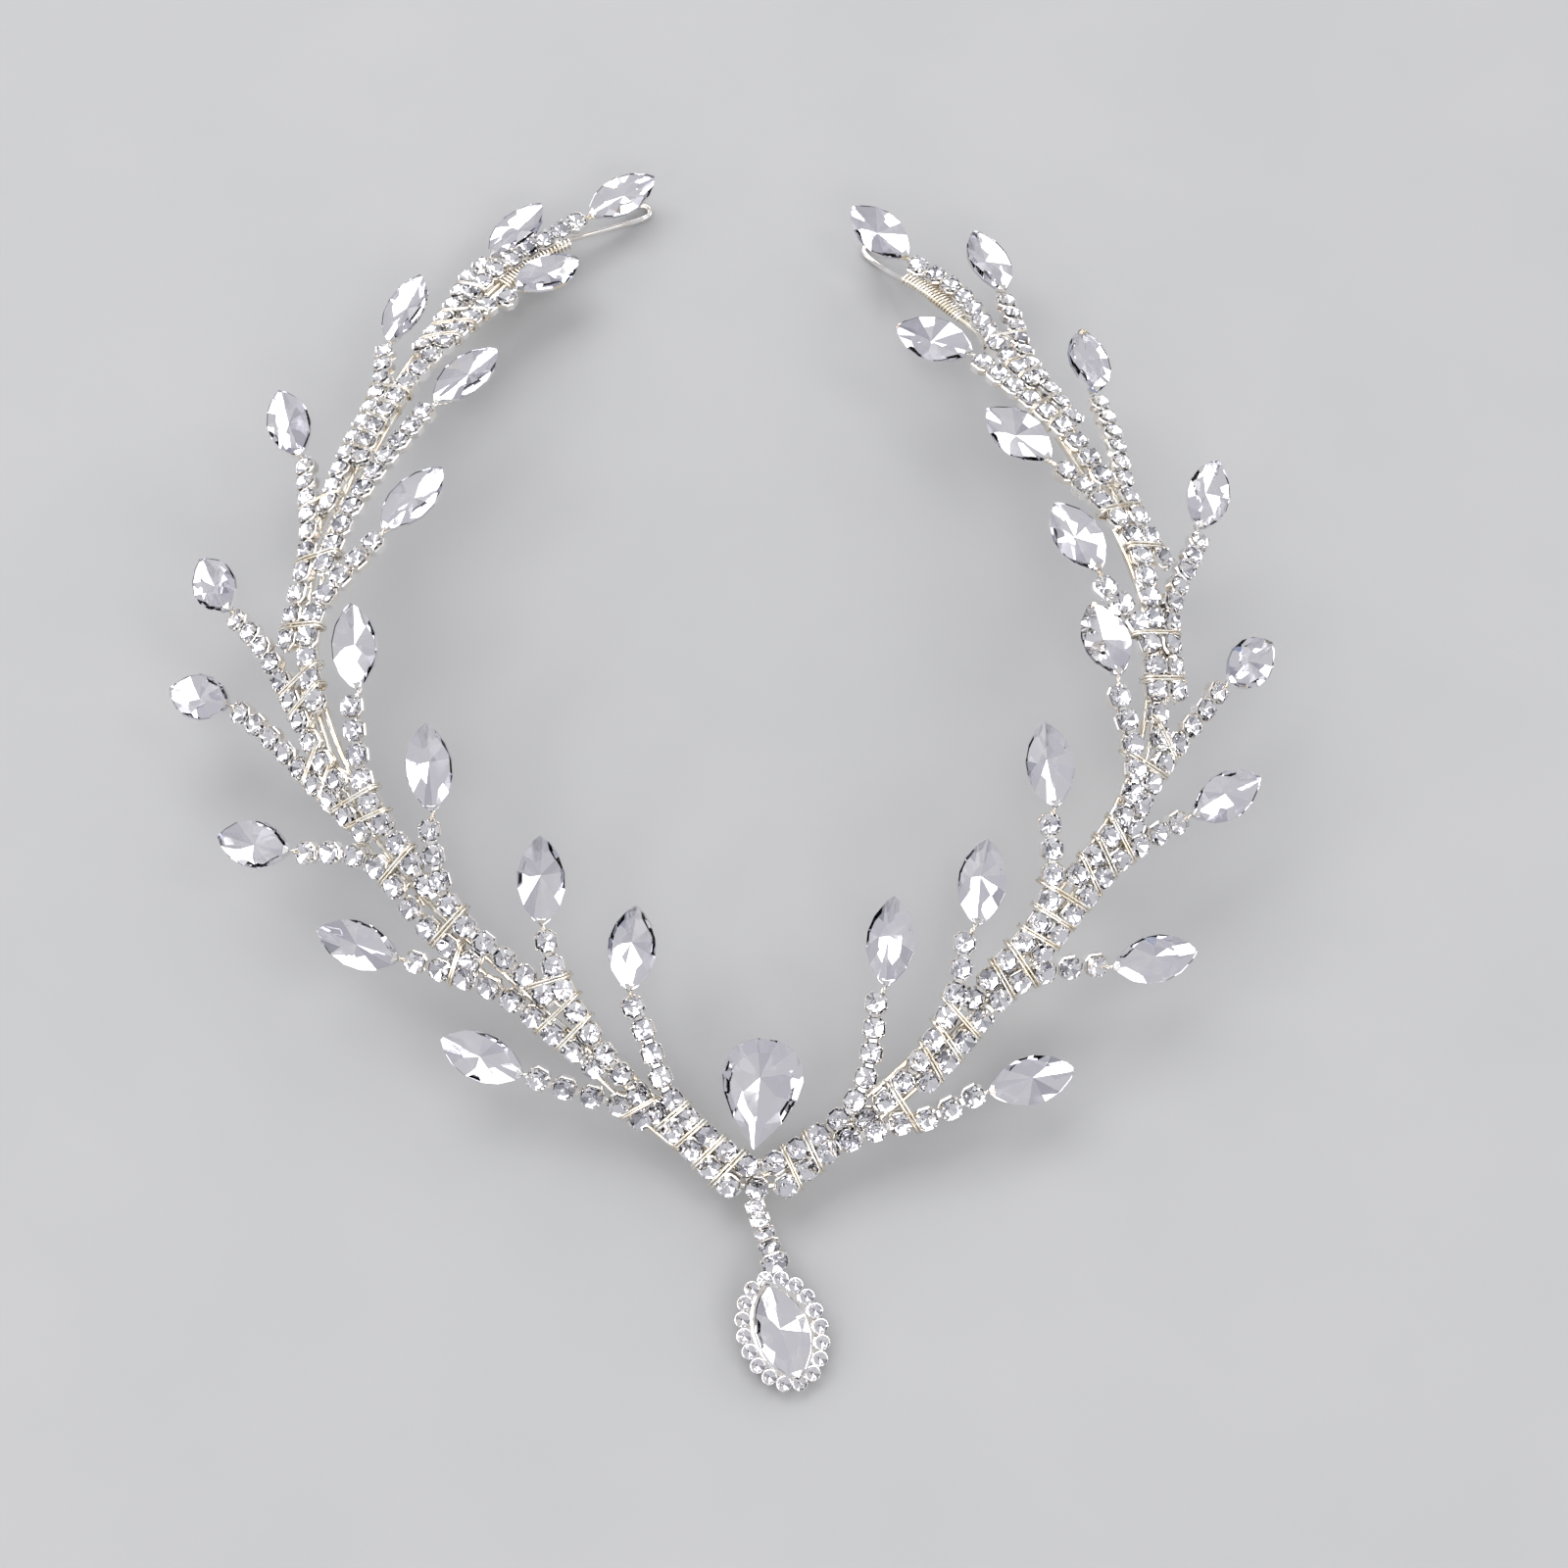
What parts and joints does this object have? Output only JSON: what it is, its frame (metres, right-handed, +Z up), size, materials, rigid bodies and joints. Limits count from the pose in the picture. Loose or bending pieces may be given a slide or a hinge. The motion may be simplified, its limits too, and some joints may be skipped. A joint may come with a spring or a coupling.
{
  "type": "bridal crown",
  "caption": "Open-backed wire and crystal bridal crown with sprigs of navette stones, a forehead pendant and a hair loop at each end.",
  "frame": {"origin": "on the surface the crown rests on, under the middle of its bounding box", "axes": "+Z up off the surface; -Y to the front point of the V and the pendant; +X to the wearer's left, which is the right of the picture"},
  "size_m": [0.147, 0.1804, 0.0351],
  "materials": {
    "crystal": "clear cut crystal with a silvered back, polished facets",
    "cup_chain": "bright plated square cups, each with a clear round cut stone",
    "band": "bright plated wire, drawn thin and wound, with rows of cup-set round stones",
    "halo": "bright plated plate behind the pendant"
  },
  "bodies": {
    "root": {"left_inner_navette_1": "crystal", "left_inner_navette_2": "crystal", "left_inner_navette_3": "crystal", "left_inner_navette_4": "crystal", "left_inner_navette_5": "crystal", "left_inner_navette_6": "crystal", "left_inner_navette_7": "crystal", "left_outer_navette_1": "crystal", "left_outer_navette_2": "crystal", "left_outer_navette_3": "crystal", "left_outer_navette_4": "crystal", "left_outer_navette_5": "crystal", "left_outer_navette_6": "crystal", "left_outer_navette_7": "crystal", "left_outer_navette_8": "crystal", "right_inner_navette_1": "crystal", "right_inner_navette_2": "crystal", "right_inner_navette_3": "crystal", "right_inner_navette_4": "crystal", "right_inner_navette_5": "crystal", "right_inner_navette_6": "crystal", "right_inner_navette_7": "crystal", "right_outer_navette_1": "crystal", "right_outer_navette_2": "crystal", "right_outer_navette_3": "crystal", "right_outer_navette_4": "crystal", "right_outer_navette_5": "crystal", "right_outer_navette_6": "crystal", "right_outer_navette_7": "crystal", "left_end_navette": "crystal", "right_end_navette": "crystal", "pear_crystal": "crystal", "pendant_navette": "crystal", "left_inner_cups": "cup_chain", "left_outer_cups": "cup_chain", "right_inner_cups": "cup_chain", "right_outer_cups": "cup_chain", "pendant_cups": "cup_chain", "pendant_chain": "cup_chain", "left_frame": "band", "right_frame": "band", "pendant_setting": "halo"}
  },
  "joints": []
}
